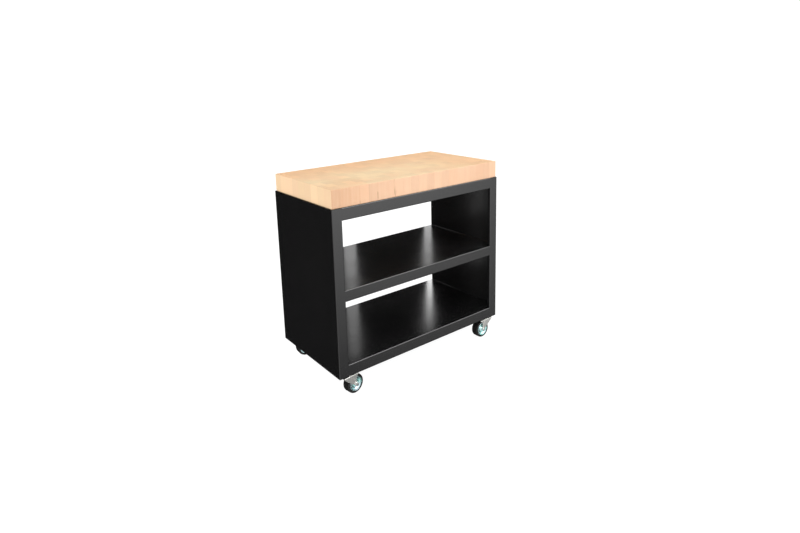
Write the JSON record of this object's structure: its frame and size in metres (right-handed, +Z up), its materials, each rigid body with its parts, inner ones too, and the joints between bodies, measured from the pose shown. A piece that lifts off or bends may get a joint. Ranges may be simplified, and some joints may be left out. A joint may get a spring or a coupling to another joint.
{
  "type": "butcher block table",
  "caption": "Thick end-grain wood block on a black sheet-steel cabinet with two open shelves and four swivel casters.",
  "frame": {"origin": "on the floor, under the middle of the cabinet", "axes": "+X to the right as seen from the front, +Y towards the back, +Z up"},
  "size_m": [0.91, 0.475, 0.871],
  "materials": {
    "maple": "oiled end grain",
    "black_coat": "satin powder coat",
    "tyre": "moulded rubber",
    "zinc_steel": "zinc plated",
    "zinc_disc": "zinc plated, blue-green passivated",
    "bearing_steel": "polished",
    "bush": "turned",
    "zinc_fastener": "zinc plated"
  },
  "bodies": {
    "cabinet": {"block_row_1": "maple", "block_row_2": "maple", "block_row_3": "maple", "block_row_4": "maple", "block_row_5": "maple", "block_row_6": "maple", "block_row_7": "maple", "block_row_8": "maple", "block_row_9": "maple", "left_side_panel": "black_coat", "right_side_panel": "black_coat", "front_top_rail": "black_coat", "back_top_rail": "black_coat", "mid_shelf": "black_coat", "bottom_shelf": "black_coat", "mid_shelf_rib": "black_coat", "bottom_shelf_rib": "black_coat", "left_block_ledge": "black_coat", "right_block_ledge": "black_coat", "left_bearer": "black_coat", "right_bearer": "black_coat", "block_screw_washers": "zinc_fastener", "block_screws": "zinc_fastener", "kingpins": "zinc_fastener", "kingpin_washers": "zinc_fastener", "kingpin_nuts": "zinc_fastener", "front_left_caster_bracket": "black_coat", "front_right_caster_bracket": "black_coat", "back_left_caster_bracket": "black_coat", "back_right_caster_bracket": "black_coat", "front_left_upper_race": "zinc_steel", "front_right_upper_race": "zinc_steel", "back_left_upper_race": "zinc_steel", "back_right_upper_race": "zinc_steel"},
    "front_left_swivel": {"front_left_fork": "zinc_steel", "front_left_race_balls": "bearing_steel", "front_left_axle_bolt": "zinc_fastener", "front_left_axle_nut": "zinc_fastener"},
    "front_left_wheel": {"front_left_tyre": "tyre", "front_left_wheel_discs": "zinc_disc", "front_left_hub_bush": "bush"},
    "front_right_swivel": {"front_right_fork": "zinc_steel", "front_right_race_balls": "bearing_steel", "front_right_axle_bolt": "zinc_fastener", "front_right_axle_nut": "zinc_fastener"},
    "front_right_wheel": {"front_right_tyre": "tyre", "front_right_wheel_discs": "zinc_disc", "front_right_hub_bush": "bush"},
    "back_left_swivel": {"back_left_fork": "zinc_steel", "back_left_race_balls": "bearing_steel", "back_left_axle_bolt": "zinc_fastener", "back_left_axle_nut": "zinc_fastener"},
    "back_left_wheel": {"back_left_tyre": "tyre", "back_left_wheel_discs": "zinc_disc", "back_left_hub_bush": "bush"},
    "back_right_swivel": {"back_right_fork": "zinc_steel", "back_right_race_balls": "bearing_steel", "back_right_axle_bolt": "zinc_fastener", "back_right_axle_nut": "zinc_fastener"},
    "back_right_wheel": {"back_right_tyre": "tyre", "back_right_wheel_discs": "zinc_disc", "back_right_hub_bush": "bush"}
  },
  "joints": [
    {"name": "front_left_swivel_turn", "type": "hinge", "parent": "cabinet", "child": "front_left_swivel", "pos_m": [-0.397, -0.2085, 0.085], "axis": [0, 0, 1], "continuous": true},
    {"name": "front_left_wheel_spin", "type": "hinge", "parent": "front_left_swivel", "child": "front_left_wheel", "pos_m": [-0.37323, -0.20516, 0.041], "axis": [-0.1392, 0.9903, 0], "continuous": true},
    {"name": "front_right_swivel_turn", "type": "hinge", "parent": "cabinet", "child": "front_right_swivel", "pos_m": [0.397, -0.2085, 0.085], "axis": [0, 0, 1], "continuous": true},
    {"name": "front_right_wheel_spin", "type": "hinge", "parent": "front_right_swivel", "child": "front_right_wheel", "pos_m": [0.373, -0.20892, 0.041], "axis": [0.0175, -0.9998, 0], "continuous": true},
    {"name": "back_left_swivel_turn", "type": "hinge", "parent": "cabinet", "child": "back_left_swivel", "pos_m": [-0.397, 0.2085, 0.085], "axis": [0, 0, 1], "continuous": true},
    {"name": "back_left_wheel_spin", "type": "hinge", "parent": "back_left_swivel", "child": "back_left_wheel", "pos_m": [-0.37306, 0.20683, 0.041], "axis": [0.0698, 0.9976, 0], "continuous": true},
    {"name": "back_right_swivel_turn", "type": "hinge", "parent": "cabinet", "child": "back_right_swivel", "pos_m": [0.397, 0.2085, 0.085], "axis": [0, 0, 1], "continuous": true},
    {"name": "back_right_wheel_spin", "type": "hinge", "parent": "back_right_swivel", "child": "back_right_wheel", "pos_m": [0.37306, 0.20683, 0.041], "axis": [0.0698, -0.9976, 0], "continuous": true}
  ]
}
